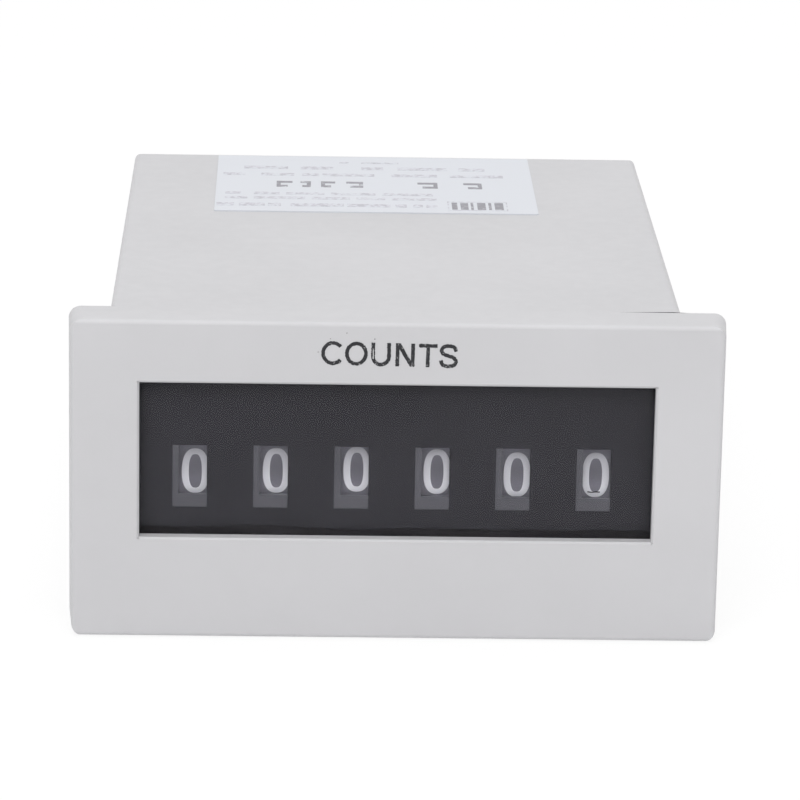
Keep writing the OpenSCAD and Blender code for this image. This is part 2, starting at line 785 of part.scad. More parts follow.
// Straight limb of the width w between the points p and q
module limb(p, q, w) {
    d = q - p;
    translate(p) rotate(atan2(d[1], d[0])) translate([0, -w / 2]) square([norm(d), w]);
}

// Leaf spring on the front flange, which pushes the armature off the core
spring_t = 0.2;
spring_half = 1.5;
function spring_foot_y() = bobbin_front + flange_t / 2;
module return_spring() {
    top = armature_top + run_c;
    tip_y = armature_back + pass_c;
    tip_z = armature_top - 3 * flange_t;
    bend_y = bobbin_front - spring_t;
    color(brass) difference() {
        slab_x(-spring_half, spring_half) polygon([
            [bobbin_front + flange_t, top], [bobbin_front + flange_t, top + spring_t],
            [bend_y, top + spring_t],
            [tip_y, tip_z + spring_t], [tip_y, tip_z], [tip_y + spring_t, tip_z], [bend_y + spring_t, top]]);
        translate([0, spring_foot_y(), top - eps]) cylinder(r = spring_peg_r + run_c, h = 2 * eps + spring_t);
    }
}

// Stamped blade with a shoulder that stops against the rear wall's inner face and a chamfered tip
module terminals() {
    shoulder_w = 0.8;
    shoulder_d = 1.0;
    half = blade_w / 2;
    tip = housing_back + blade_l;
    chamfer = blade_w / 4;
    lock_hole_r = blade_w / 4;
    color(brass) for (side = [-1, 1])
        translate([side * blade_pitch / 2, 0, coil_z]) slab_x(-blade_t / 2, blade_t / 2) difference() {
            union() {
                polygon([[tail_y, -half], [tip - chamfer, -half], [tip, chamfer - half],
                    [tip, half - chamfer], [tip - chamfer, half], [tail_y, half]]);
                translate([cavity_back - shoulder_d, -half - shoulder_w])
                    square([shoulder_d, blade_w + 2 * shoulder_w]);
            }
            translate([tip - blade_w / 2 - chamfer, 0]) circle(lock_hole_r);
        }
}

bezel();
window();
digit_mask();
sight_frame();
housing();
label();
chassis();
wheel_shaft();
for (i = [0 : wheel_count - 1])
    number_wheel(i);
pinion_shaft();
for (i = [0 : len(PINIONS) - 1])
    carry_pinion(i);
coil_bobbin();
coil_winding();
magnet_core();
yoke();
armature();
armature_pin();
anchor_lever();
return_spring();
yoke_screws();
terminals();
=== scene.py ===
"""Looks of a six-digit panel counter: finishes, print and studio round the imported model.

The file is laid out as a Blender add-on and run as a script: main() registers the classes and
calls the operators in order. All lengths are metres, in the model's frame.
"""
import json
import math

import bpy
import numpy as np
from bpy.props import FloatProperty, FloatVectorProperty, PointerProperty
from mathutils import Matrix, Vector


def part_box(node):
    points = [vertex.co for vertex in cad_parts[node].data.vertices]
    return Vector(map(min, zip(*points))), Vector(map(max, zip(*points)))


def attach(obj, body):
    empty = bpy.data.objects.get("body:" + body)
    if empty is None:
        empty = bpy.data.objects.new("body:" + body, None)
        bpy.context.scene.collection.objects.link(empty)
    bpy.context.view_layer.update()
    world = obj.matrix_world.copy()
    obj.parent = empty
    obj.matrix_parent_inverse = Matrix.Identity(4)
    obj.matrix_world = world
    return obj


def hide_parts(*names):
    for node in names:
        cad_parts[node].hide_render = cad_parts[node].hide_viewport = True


bl_info = {
    "name": "Panel counter looks",
    "version": (1, 0, 0),
    "blender": (4, 5, 0),
    "location": "3D View > Sidebar > Counter",
    "description": "Finishes, print and studio for a six-digit panel counter",
    "category": "Object",
}

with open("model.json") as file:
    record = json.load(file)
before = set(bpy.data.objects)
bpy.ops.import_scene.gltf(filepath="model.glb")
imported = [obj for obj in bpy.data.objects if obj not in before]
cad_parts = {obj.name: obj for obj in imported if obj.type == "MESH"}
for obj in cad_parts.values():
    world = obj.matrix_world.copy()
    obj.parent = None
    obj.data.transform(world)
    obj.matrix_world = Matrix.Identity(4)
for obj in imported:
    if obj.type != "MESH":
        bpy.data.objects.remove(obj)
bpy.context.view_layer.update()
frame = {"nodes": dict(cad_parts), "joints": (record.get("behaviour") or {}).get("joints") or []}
MM = 0.001
PLACES = ("hundred_thousands", "ten_thousands", "thousands", "hundreds", "tens", "units")
DIGITS_ON_A_DRUM = 10
JOINTS = {joint["name"]: joint for joint in frame["joints"]}
BEZEL_LOW, BEZEL_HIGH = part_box("bezel")
HOUSING_LOW, HOUSING_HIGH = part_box("housing")
LABEL_LOW, LABEL_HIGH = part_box("label")
DRUM_LOW, DRUM_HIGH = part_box("units_wheel")
MASK_LOW, MASK_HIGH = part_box("digit_mask")
WINDING_LOW, WINDING_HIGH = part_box("coil_winding")
CORE_LOW, CORE_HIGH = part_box("magnet_core")
DRUM_RADIUS = (DRUM_HIGH.z - DRUM_LOW.z) / 2
# The usual middle of a noise, over which colours and gloss run from their low to their high end
NOISE_LOW, NOISE_HIGH = 0.3, 0.7
# Share by which the film of each next stroke stands higher, so that films that cross share no plane, and
# after how many strokes it starts again
FILM_STEP, FILM_STEPS = 0.15, 3


# Sizes and colours that a user would change

def colour(name, description, value):
    """Colour property with three linear channels."""
    return FloatVectorProperty(name=name, description=description, default=value, size=3,
                               min=0.0, max=1.0, subtype="COLOR")


def length(name, description, value):
    """Length property in metres, written here in millimetres."""
    return FloatProperty(name=name, description=description, default=value * MM, unit="LENGTH",
                         precision=5)


def angle(name, description, value):
    """Angle property, written here in degrees."""
    return FloatProperty(name=name, description=description, default=math.radians(value),
                         subtype="ANGLE")


class CounterFinish(bpy.types.PropertyGroup):
    """Colours of the counter's materials."""
    shell: colour("Shell", "Pale grey plastic of the bezel and the housing", (0.518, 0.515, 0.530))
    mask: colour("Mask", "Dark print of the digit mask", (0.0335, 0.0325, 0.0390))
    sight: colour("Sight", "Grey of the pads in the mask's cut-outs", (0.106, 0.104, 0.119))
    drum: colour("Drums", "Dark plastic of the number wheels", (0.160, 0.155, 0.183))
    digit: colour("Digits", "Pale print on the number wheels", (0.945, 0.942, 1.0))
    ink: colour("Legend", "Dark ink of the legend", (0.025, 0.025, 0.028))
    paper: colour("Label", "Coated paper of the label", (0.612, 0.629, 0.671))
    label_ink: colour("Label print", "Grey print of the label", (0.250, 0.246, 0.271))
    frame_black: colour("Chassis", "Black plastic of the chassis", (0.055, 0.052, 0.059))
    ivory: colour("Inner plastic", "Unpigmented plastic of pinions, bobbin and anchor", (0.74, 0.69, 0.55))
    steel: colour("Steel", "Ground steel of shafts and screws", (0.56, 0.57, 0.59))
    iron: colour("Soft iron", "Zinc-plated iron of core, yoke and armature", (0.46, 0.48, 0.49))
    copper: colour("Copper", "Enamelled wire of the coil", (0.60, 0.22, 0.07))
    brass: colour("Brass", "Tinned brass of terminals and spring", (0.56, 0.52, 0.41))


class CounterPrint(bpy.types.PropertyGroup):
    """Sizes of the print."""
    legend_height: length("Legend height", "Height of a flat-topped letter", 1.76)
    legend_round: length("Legend overshoot", "How far round letters pass the flat ones", 0.03)
    legend_stroke: length("Legend stroke", "Width of a letter's stroke", 0.275)
    legend_ragged: length("Legend ragged edge", "How far a stroke's edges waver", 0.013)
    legend_foot: length("Legend foot", "Height of the letters' foot above the drums' axis", 8.93)
    legend_tilt: angle("Legend tilt", "Turn of the legend on the face", -0.9)
    digit_height: length("Digit height", "Height of a digit", 3.59)
    digit_width: length("Digit width", "Width of a digit", 2.01)
    digit_stroke: length("Digit stroke", "Width of a digit's stroke", 0.52)
    digit_slim: FloatProperty(name="Digit contrast", description="Share by which level strokes are thinner",
                              default=0.16)
    digit_shift: length("Digit shift", "Sideways place of the digits from the drum's middle", 0.10)
    film: length("Film", "How far print stands proud", 0.012)
    sink: length("Sink", "How far print reaches into what carries it", 0.06)


class CounterStage(bpy.types.PropertyGroup):
    """Camera, light and floor."""
    eye: FloatVectorProperty(name="Eye", description="Place of the camera", size=3,
                             default=(-0.007815, -0.318018, 0.097305), unit="LENGTH",
                             subtype="TRANSLATION", precision=5)
    yaw: angle("Yaw", "Turn of the view to the right", 1.4536)
    pitch: angle("Pitch", "Dip of the view", 16.1409)
    roll: angle("Roll", "Turn of the camera about the view", 1.0816)
    lens: FloatProperty(name="Lens", description="Focal length in millimetres", default=200.386)
    sky: FloatProperty(name="Sky", description="Level of the light from all sides", default=0.48)
    floor: colour("Floor", "Pale floor", (0.98, 0.98, 0.98))
    white: FloatProperty(name="White", description="Share of the floor that the camera sees as plain white",
                         default=0.875, min=0.0, max=1.0)


# Meshes worked out with numpy

def smooth_path(knots):
    """Open curve through the knots: each span is the cubic that leaves and meets its knots with half
    the step between the knots on either side."""
    span_points = 10
    k = np.asarray(knots, float)
    rows = np.concatenate([2 * k[:1] - k[1:2], k, 2 * k[-1:] - k[-2:-1]])
    p0, p1, p2, p3 = (rows[i:len(rows) - 3 + i, None] for i in range(4))
    t = np.linspace(0, 1, span_points, endpoint=False)[None, :, None]
    curve = (2 * p1 + (p2 - p0) * t + (2 * p0 - 5 * p1 + 4 * p2 - p3) * t ** 2
             + (3 * p1 - p0 - 3 * p2 + p3) * t ** 3) / 2
    return np.concatenate([curve.reshape(-1, 2), k[-1:]])


def oval(centre, radii, power=2.0, start=0.0, end=360.0, points=48):
    """Arc of a superellipse: cosine and sine of the angle, each raised to 2 / power with its sign
    kept, times the radii. It is closed where it covers the whole turn."""
    whole = abs(end - start) >= 360
    a = np.radians(np.linspace(start, end, points, endpoint=not whole))
    unit = np.stack([np.cos(a), np.sin(a)], 1)
    return np.asarray(centre) + np.asarray(radii) * np.sign(unit) * np.abs(unit) ** (2 / power)


def even_path(path, step, closed=False):
    """Path cut into even steps: each coordinate is interpolated over the length run so far."""
    p = np.asarray(path, float)
    p = np.concatenate([p, p[:1]]) if closed else p
    run = np.concatenate([[0.0], np.cumsum(np.linalg.norm(np.diff(p, axis=0), axis=1))])
    at = np.linspace(0, run[-1], max(3, round(run[-1] / step)) + 1)
    even = np.stack([np.interp(at, run, p[:, 0]), np.interp(at, run, p[:, 1])], 1)
    return even[:-1] if closed else even


def ribbon(path, half, low, high, closed=False, across=None, ragged=0.0, slim=0.0):
    """Flat bar along a plane path: its section, half to each side and from low to high above the
    plane, is carried along the path. Across replaces the sideways direction where ends are cut level,
    ragged shakes both edges at random by about that much, and slim is the share by which level
    strokes are thinner than upright ones. Returns points (u, v, w) and quads that face outwards."""
    p = np.asarray(path, float)
    step = np.roll(p, -1, 0) - np.roll(p, 1, 0) if closed else np.gradient(p, axis=0)
    step = step / np.linalg.norm(step, axis=1, keepdims=True)
    side = np.stack([-step[:, 1], step[:, 0]], 1) if across is None else np.tile(across, (len(p), 1))
    half = half * (1 - slim * np.abs(step[:, :1]))
    shake = np.random.default_rng(len(p)).normal(0.0, ragged, (2, len(p), 1))
    left, right = p + (half + shake[0]) * side, p - (half + shake[1]) * side
    flat = np.stack([right, left, left, right], 1)
    rise = np.broadcast_to(np.array([low, low, high, high])[None, :, None], (len(p), 4, 1))
    points = np.concatenate([flat, rise], 2).reshape(-1, 3)
    rows = np.arange(len(p) if closed else len(p) - 1)[:, None]
    k = np.arange(4)[None, :]
    after, turn = (rows + 1) % len(p), (k + 1) % 4
    quads = np.stack([4 * rows + k, 4 * rows + turn, 4 * after + turn, 4 * after + k], 2).reshape(-1, 4)
    if not closed:
        last = 4 * (len(p) - 1)
        caps = np.array([[0, 3, 2, 1], [last, last + 1, last + 2, last + 3]])
        quads = np.concatenate([quads, caps])
    return points, quads


def prism(stations, sections):
    """Bar along x: at each station stands a section of four (y, z) corners, given in the order front low,
    front high, back high, back low. Returns points and quads that face outwards."""
    x = np.repeat(np.asarray(stations, float), 4)
    rows = 4 * np.arange(len(stations) - 1)[:, None]
    k = np.arange(4)[None, :]
    turn = (k + 1) % 4
    sides = np.stack([rows + k, rows + 4 + k, rows + 4 + turn, rows + turn], 2).reshape(-1, 4)
    last = 4 * (len(stations) - 1)
    caps = [[0, 1, 2, 3], [last, last + 3, last + 2, last + 1]]
    return np.column_stack([x, np.concatenate(sections)]), np.concatenate([sides, caps])


def join(parts):
    """Stacks several (points, quads) pairs into one."""
    starts = np.cumsum([0] + [len(points) for points, _ in parts[:-1]])
    return (np.concatenate([points for points, _ in parts]),
            np.concatenate([quads + start for (_, quads), start in zip(parts, starts)]))


def put_mesh(name, points, quads, material, body, slot, smooth=False, height=None):
    """Makes an object at the origin from points and quads, which rides on a body. Height is kept as an
    attribute of the points, for painted shade in print that changes over it."""
    mesh = bpy.data.meshes.new(name)
    mesh.vertices.add(len(points))
    mesh.vertices.foreach_set("co", np.ascontiguousarray(points, np.float32).ravel())
    mesh.loops.add(quads.size)
    mesh.loops.foreach_set("vertex_index", np.ascontiguousarray(quads, np.int32).ravel())
    mesh.polygons.add(len(quads))
    mesh.polygons.foreach_set("loop_start", np.arange(0, quads.size, 4, dtype=np.int32))
    mesh.polygons.foreach_set("use_smooth", np.full(len(quads), smooth))
    if height is not None:
        mesh.attributes.new("height", "FLOAT", "POINT").data.foreach_set("value", height.astype(np.float32))
    mesh.update(calc_edges=True)
    mesh.materials.append(material)
    piece = bpy.data.objects.new(name, mesh)
    bpy.context.scene.collection.objects.link(piece)
    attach(piece, body)
    return piece


# Materials, all on Object coordinates

def add_node(tree, kind, inputs=None, **settings):
    """Adds a shader node with some settings and input values."""
    made = tree.nodes.new(kind)
    for key, value in settings.items():
        setattr(made, key, value)
    for key, value in (inputs or {}).items():
        made.inputs[key].default_value = value
    return made


def start_material(name, **sockets):
    """New material with a Principled shader. Returns it, its tree, the shader and the coordinates."""
    made = bpy.data.materials.new(name)
    made.use_nodes = True
    tree = made.node_tree
    tree.nodes.clear()
    shader = add_node(tree, "ShaderNodeBsdfPrincipled", sockets)
    output = add_node(tree, "ShaderNodeOutputMaterial")
    tree.links.new(shader.outputs["BSDF"], output.inputs["Surface"])
    place = add_node(tree, "ShaderNodeTexCoord")
    return made, tree, shader, place.outputs["Object"]


def stretched(tree, place, scale):
    """Coordinates drawn out by a scale for each axis."""
    mapping = add_node(tree, "ShaderNodeMapping", {"Scale": scale})
    tree.links.new(place, mapping.inputs["Vector"])
    return mapping.outputs["Vector"]


def noise(tree, place, scale, detail=3.0, roughness=0.55):
    """Noise over the coordinates, scale in waves a metre."""
    made = add_node(tree, "ShaderNodeTexNoise",
                    {"Scale": scale, "Detail": detail, "Roughness": roughness})
    tree.links.new(place, made.inputs["Vector"])
    return made.outputs["Fac"]


def ramp(tree, factor, stops):
    """Colour ramp through (place, linear colour) stops."""
    made = add_node(tree, "ShaderNodeValToRGB")
    row = made.color_ramp.elements
    while len(row) < len(stops):
        row.new(0.5)
    for element, (at, shade) in zip(row, stops):
        element.position = at
        element.color = (*shade, 1.0)
    tree.links.new(factor, made.inputs["Fac"])
    return made.outputs["Color"]


def two_tone(tree, factor, low, high):
    """Colour that runs from low to high over the usual middle of a noise."""
    return ramp(tree, factor, [(NOISE_LOW, low), (NOISE_HIGH, high)])


def ranged(tree, value, start, end, low, high):
    """Value that runs from low to high while the given one runs from start to end."""
    made = add_node(tree, "ShaderNodeMapRange",
                    {"From Min": start, "From Max": end, "To Min": low, "To Max": high})
    tree.links.new(value, made.inputs["Value"])
    return made.outputs["Result"]


def spread(tree, factor, low, high):
    """Maps the usual middle of a noise to the range from low to high."""
    return ranged(tree, factor, NOISE_LOW, NOISE_HIGH, low, high)


def calculate(tree, operation, *values):
    """Result of a Math node on sockets and plain numbers, in the order of its inputs."""
    made = add_node(tree, "ShaderNodeMath", operation=operation)
    for place, value in enumerate(values):
        if isinstance(value, bpy.types.NodeSocket):
            tree.links.new(value, made.inputs[place])
        else:
            made.inputs[place].default_value = value
    return made.outputs[0]


def bump(tree, height, shader, depth):
    """Bumps the shader's normal by a height of the given depth."""
    made = add_node(tree, "ShaderNodeBump", {"Strength": 1.0, "Distance": depth})
    tree.links.new(height, made.inputs["Height"])
    tree.links.new(made.outputs["Normal"], shader.inputs["Normal"])


def tint(shade, factor):
    """Colour times a factor."""
    return tuple(min(1.0, channel * factor) for channel in shade)


def moulded(name, shade, patch=70.0, grain=6500.0, depth=4e-6, rough=(0.42, 0.52), vary=0.025, gloss=0.5):
    """Moulded plastic: faint patches in the colour, an eroded grain and uneven gloss."""
    gloss_patch = 12 * patch
    made, tree, shader, place = start_material(name, **{"Specular IOR Level": gloss})
    patches = noise(tree, place, patch, detail=4.0)
    tree.links.new(two_tone(tree, patches, tint(shade, 1 - vary), tint(shade, 1 + vary)),
                   shader.inputs["Base Color"])
    tree.links.new(spread(tree, noise(tree, place, gloss_patch), *rough), shader.inputs["Roughness"])
    bump(tree, noise(tree, place, grain, detail=2.0), shader, depth)
    return made


def printed(name, shade, under, speck, cover, edge, gloss=0.5, worn=None, thin=None):
    """Print whose film has pinholes, through which what is under it shows. Worn is the height below
    which there are more of them, the height from which there are no more, and how many more. Thin gives
    painted shade: the height in the height attribute from which the film's colour runs toward what is
    under it, the height where it is darkest, and by what share."""
    # Beside a pinhole the film is this much paler, over this much of the noise
    rim_tint, rim = 1.25, 0.12
    made, tree, shader, place = start_material(name, **{"Roughness": 0.55, "Specular IOR Level": gloss})
    holes = noise(tree, place, speck, detail=4.0, roughness=0.6)
    if worn:
        low, high, loss = worn
        axes = add_node(tree, "ShaderNodeSeparateXYZ")
        tree.links.new(place, axes.inputs["Vector"])
        holes = calculate(tree, "ADD", holes, ranged(tree, axes.outputs["Z"], low, high, -loss, 0.0))
    film = ramp(tree, holes, [(cover - edge, under), (cover, tint(shade, rim_tint)), (cover + rim, shade)])
    # Painted shade: the film's colour is mixed toward what is under it over the height attribute
    if thin:
        start, darkest_at, share = thin
        height = add_node(tree, "ShaderNodeAttribute", attribute_name="height")
        mix = add_node(tree, "ShaderNodeMixRGB", {"Color2": (*under, 1.0)})
        tree.links.new(ranged(tree, height.outputs["Fac"], start, darkest_at, 0.0, share), mix.inputs["Fac"])
        tree.links.new(film, mix.inputs["Color1"])
        film = mix.outputs["Color"]
    tree.links.new(film, shader.inputs["Base Color"])
    bump(tree, holes, shader, depth=3e-6)
    return made


def drum_plastic(shade, hub, waves, palest, level, swing):
    """Moulded plastic of the drums with painted light and shade: painted palest at one angle below the
    middle of each digit, where the cut-outs' walls and pads shade the drum, and painted darker near the
    digit's middle. The shade is a level plus a swing times the cosine of the waves round the hub, counted
    from that angle."""
    made = moulded("drum_plastic", shade, patch=220.0, grain=8000.0, depth=3e-6, rough=(0.45, 0.58),
                   vary=0.04, gloss=0.1)
    tree = made.node_tree
    kinds = {node.type: node for node in tree.nodes}
    base = kinds["BSDF_PRINCIPLED"].inputs["Base Color"]
    axes = add_node(tree, "ShaderNodeSeparateXYZ")
    tree.links.new(kinds["TEX_COORD"].outputs["Object"], axes.inputs["Vector"])
    up = calculate(tree, "SUBTRACT", axes.outputs["Z"], hub[2])
    ahead = calculate(tree, "SUBTRACT", hub[1], axes.outputs["Y"])
    turn = calculate(tree, "ARCTAN2", up, ahead)
    phase = calculate(tree, "MULTIPLY_ADD", turn, float(waves), -waves * palest)
    factor = calculate(tree, "MULTIPLY_ADD", calculate(tree, "COSINE", phase), swing, level)
    shaded = add_node(tree, "ShaderNodeVectorMath", operation="SCALE")
    tree.links.new(base.links[0].from_socket, shaded.inputs["Vector"])
    tree.links.new(factor, shaded.inputs["Scale"])
    tree.links.new(shaded.outputs["Vector"], base)
    return made


def brushed(name, shade, along, rough=(0.22, 0.38), vary=0.10):
    """Metal with fine lines along one axis."""
    made, tree, shader, place = start_material(name, Metallic=1.0)
    scale = [1.0, 1.0, 1.0]
    scale["XYZ".index(along)] = 0.03
    lines = noise(tree, stretched(tree, place, scale), 900.0, detail=5.0, roughness=0.65)
    tree.links.new(two_tone(tree, lines, tint(shade, 1 - vary), tint(shade, 1 + vary)),
                   shader.inputs["Base Color"])
    tree.links.new(spread(tree, lines, *rough), shader.inputs["Roughness"])
    bump(tree, lines, shader, depth=3e-6)
    return made


def clear_plastic():
    """Polished clear sheet with a weak reflection and faint smears in its tint."""
    made, tree, shader, place = start_material(
        "clear_plastic", **{"IOR": 1.49, "Roughness": 0.0, "Specular Tint": (0.15, 0.15, 0.15, 1.0),
                            "Transmission Weight": 1.0})
    smears = noise(tree, stretched(tree, place, (1.0, 1.0, 0.4)), 260.0, detail=4.0)
    tree.links.new(two_tone(tree, smears, (0.984, 0.985, 0.990), (0.996, 0.997, 1.000)),
                   shader.inputs["Base Color"])
    return made


def enamelled_wire(shade):
    """Glossy enamel over copper, a little darker in bands along the coil."""
    made, tree, shader, place = start_material(
        "copper_wire", **{"Metallic": 0.85, "Coat Weight": 0.6, "Coat Roughness": 0.12})
    bands = noise(tree, stretched(tree, place, (0.2, 1.0, 0.2)), 1500.0)
    tree.links.new(two_tone(tree, bands, tint(shade, 0.72), tint(shade, 1.12)), shader.inputs["Base Color"])
    tree.links.new(spread(tree, bands, 0.24, 0.36), shader.inputs["Roughness"])
    return made


def coated_paper(shade):
    """Label paper: faint cloud of fibres and a thin gloss."""
    made, tree, shader, place = start_material("label_paper")
    fibres = noise(tree, stretched(tree, place, (0.5, 1.0, 1.0)), 1800.0, detail=5.0)
    tree.links.new(two_tone(tree, fibres, tint(shade, 0.985), tint(shade, 1.015)),
                   shader.inputs["Base Color"])
    tree.links.new(spread(tree, fibres, 0.40, 0.50), shader.inputs["Roughness"])
    bump(tree, fibres, shader, depth=2e-6)
    return made


def dress(material, *nodes):
    """Gives CAD nodes a material."""
    for name in nodes:
        slots = frame["nodes"][name].data.materials
        slots.clear()
        slots.append(material)


# Glyphs as strokes: plane paths in a box from -1 to 1

def digit_strokes():
    """Strokes of the digits 0 to 9, each a path with a mark for a closed one."""
    six = smooth_path([(0.82, 0.66), (0.45, 0.95), (-0.12, 0.98), (-0.70, 0.62), (-0.95, 0.0),
                       (-0.90, -0.58), (-0.48, -0.94), (0.10, -1.0), (0.74, -0.80), (0.95, -0.38),
                       (0.72, 0.0), (0.12, 0.16), (-0.50, 0.02), (-0.90, -0.34)])
    return [
        [(oval((0, 0), (1, 1), 2.5), True)],
        [([(0.15, -1.13), (0.15, 1.13)], False), ([(-0.60, 0.50), (0.15, 0.98)], False)],
        [(smooth_path([(-0.95, 0.52), (-0.72, 0.87), (0.0, 1.0), (0.74, 0.84), (0.95, 0.42), (0.60, -0.12),
                       (-0.30, -0.58), (-0.93, -1.0)]), False), ([(-1.2, -1.0), (1.2, -1.0)], False)],
        [(smooth_path([(-0.92, 0.62), (-0.58, 0.93), (0.08, 1.0), (0.78, 0.78), (0.82, 0.34), (0.36, 0.06),
                       (-0.25, 0.03)]), False),
         (smooth_path([(-0.25, 0.03), (0.50, -0.02), (0.94, -0.38), (0.84, -0.80), (0.12, -1.0),
                       (-0.62, -0.92), (-0.96, -0.58)]), False)],
        [([(0.48, -1.13), (0.48, 1.13)], False), ([(0.40, 1.0), (-0.95, -0.40)], False),
         ([(-1.2, -0.40), (1.2, -0.40)], False)],
        [([(1.1, 1.0), (-0.95, 1.0)], False), ([(-0.70, 1.05), (-0.88, 0.02)], False),
         (smooth_path([(-0.90, 0.02), (-0.40, 0.24), (0.25, 0.28), (0.86, 0.0), (0.96, -0.46), (0.58, -0.90),
                       (-0.08, -1.0), (-0.70, -0.88), (-0.97, -0.58)]), False)],
        [(six, False)],
        [([(-1.2, 1.0), (1.2, 1.0)], False),
         (smooth_path([(0.95, 1.0), (0.40, 0.20), (0.0, -0.50), (-0.15, -1.13)]), False)],
        [(oval((0, 0.51), (0.80, 0.49)), True), (oval((0, -0.48), (0.97, 0.52)), True)],
        [(-six, False)],
    ]


def legend_parts(sizes):
    """Ribbons of the six letters. Each letter fills a box of its own width on the common foot and top."""
    s = sizes.legend_stroke
    h = s / 2
    step = s / 5
    foot, top = 0.0, sizes.legend_height
    over = sizes.legend_round
    mid = (foot + top) / 2
    rise = mid - foot + over - h
    # Radius of the C as a share of its width, and half the width of the N's slanting stroke
    c_radius = 0.485
    slant = 0.62 * s
    parts = []

    def stroke(path, closed=False, half=h, across=None):
        high = sizes.film * (1 + FILM_STEP * (len(parts) % FILM_STEPS))
        parts.append(ribbon(even_path(path, step, closed), half, -sizes.sink, high, closed, across,
                            sizes.legend_ragged))

    def letter_c(left, right):
        radius = c_radius * (right - left)
        stroke(oval((left + h + radius, mid), (radius, rise), start=40, end=320))

    def letter_o(left, right):
        stroke(oval(((left + right) / 2, mid), ((right - left) / 2 - h, rise)), closed=True)

    def letter_u(left, right):
        radius = (right - left) / 2 - h
        middle = ((left + right) / 2, foot - over + h + radius)
        bowl = oval(middle, (radius, radius), start=180, end=360, points=25)
        stroke(np.concatenate([[(left + h, top)], bowl, [(right - h, top)]]))

    def letter_n(left, right):
        stroke([(left + h, foot), (left + h, top)])
        stroke([(right - h, foot), (right - h, top)])
        stroke([(left + slant, top), (right - slant, foot)], half=slant, across=(1.0, 0.0))

    def letter_t(left, right):
        stroke([(left, top - h), (right, top - h)])
        stroke([((left + right) / 2, foot), ((left + right) / 2, top - h)])

    def letter_s(left, right):
        knots = np.array([(0.98, 0.46), (0.72, 0.86), (0.0, 1.0), (-0.72, 0.86), (-0.94, 0.50), (-0.62, 0.18),
                          (0.0, 0.02), (0.66, -0.16), (1.0, -0.52), (0.74, -0.87), (0.0, -1.0),
                          (-0.76, -0.86), (-1.02, -0.42)])
        stroke(smooth_path(knots * ((right - left) / 2 - h, rise) + ((left + right) / 2, mid)))

    # The letters in order, with their left and right ends along the face in millimetres
    letters = ((letter_c, -5.69, -4.20), (letter_o, -3.95, -2.28), (letter_u, -2.03, -0.59),
               (letter_n, -0.24, 1.16), (letter_t, 1.45, 2.81), (letter_s, 2.95, 4.34))
    for letter, left, right in letters:
        letter(left * MM, right * MM)
    # Specks of stray ink, as place and half size in millimetres
    specks = ((-3.86, 2.42, 0.03), (-1.80, 2.02, 0.035), (-0.86, 1.40, 0.04), (-5.92, 0.92, 0.03),
              (3.30, 0.30, 0.025), (-5.05, 1.95, 0.025))
    for u, v, size in specks:
        stroke([((u - size) * MM, v * MM), ((u + size) * MM, v * MM)], half=size * MM)
    return parts


# Operators

class COUNTER_OT_mould_shell(bpy.types.Operator):
    """Gives the bezel and the housing their pale grey plastic, and lays the gasket behind the bezel"""
    bl_idname = "counter.mould_shell"
    bl_label = "Mould the shell"

    # The gasket's thickness and inset, its gaps to the bezel's back, the housing's top and the mask's
    #     # ends, and the bulge of its upper edge, which shows as a dark line just behind the bezel's top edge
    #     at
    #     # the right: places along x with the edge's height from the bezel's top there, all in millimetres
    gasket_thick = 0.4
    gasket_inset = 0.3
    back_gap = 0.01
    top_gap = 0.05
    end_gap = 0.10
    bulge = ((16.2, -0.107), (20.4, -0.053), (21.6, -0.107))
    # Shade of the rubber beside the chassis plastic
    rubber_tint = 0.6

    def execute(self, context):
        finish = context.scene.counter_finish
        dress(moulded("shell_plastic", finish.shell), "bezel", "housing")
        rubber = moulded("gasket_rubber", tint(finish.frame_black, self.rubber_tint), patch=300.0,
                         grain=4000.0, depth=6e-6, rough=(0.7, 0.8), vary=0.1, gloss=0.1)
        put_mesh("gasket", *join(self.gasket()), rubber, "case", "frame_plastic")
        return {"FINISHED"}

    def gasket(self):
        """Four bars behind the bezel, round the housing, and the bulge at the upper right."""
        front, back = BEZEL_HIGH.y + self.back_gap * MM, BEZEL_HIGH.y + self.gasket_thick * MM
        out_x, out_z = BEZEL_HIGH.x - self.gasket_inset * MM, BEZEL_HIGH.z - self.gasket_inset * MM
        in_x, in_z = MASK_HIGH.x + self.end_gap * MM, HOUSING_HIGH.z + self.top_gap * MM

        def section(low, high):
            return [(front, low), (front, high), (back, high), (back, low)]

        bars = [((-out_x, out_x), in_z, out_z), ((-out_x, out_x), -out_z, -in_z),
                ((-out_x, -in_x), -in_z, in_z), ((in_x, out_x), -in_z, in_z)]
        places = [x * MM for x, _ in self.bulge]
        rise = [section(out_z, BEZEL_HIGH.z + high * MM) for _, high in self.bulge]
        return [prism(ends, [section(low, high)] * 2) for ends, low, high in bars] + [prism(places, rise)]


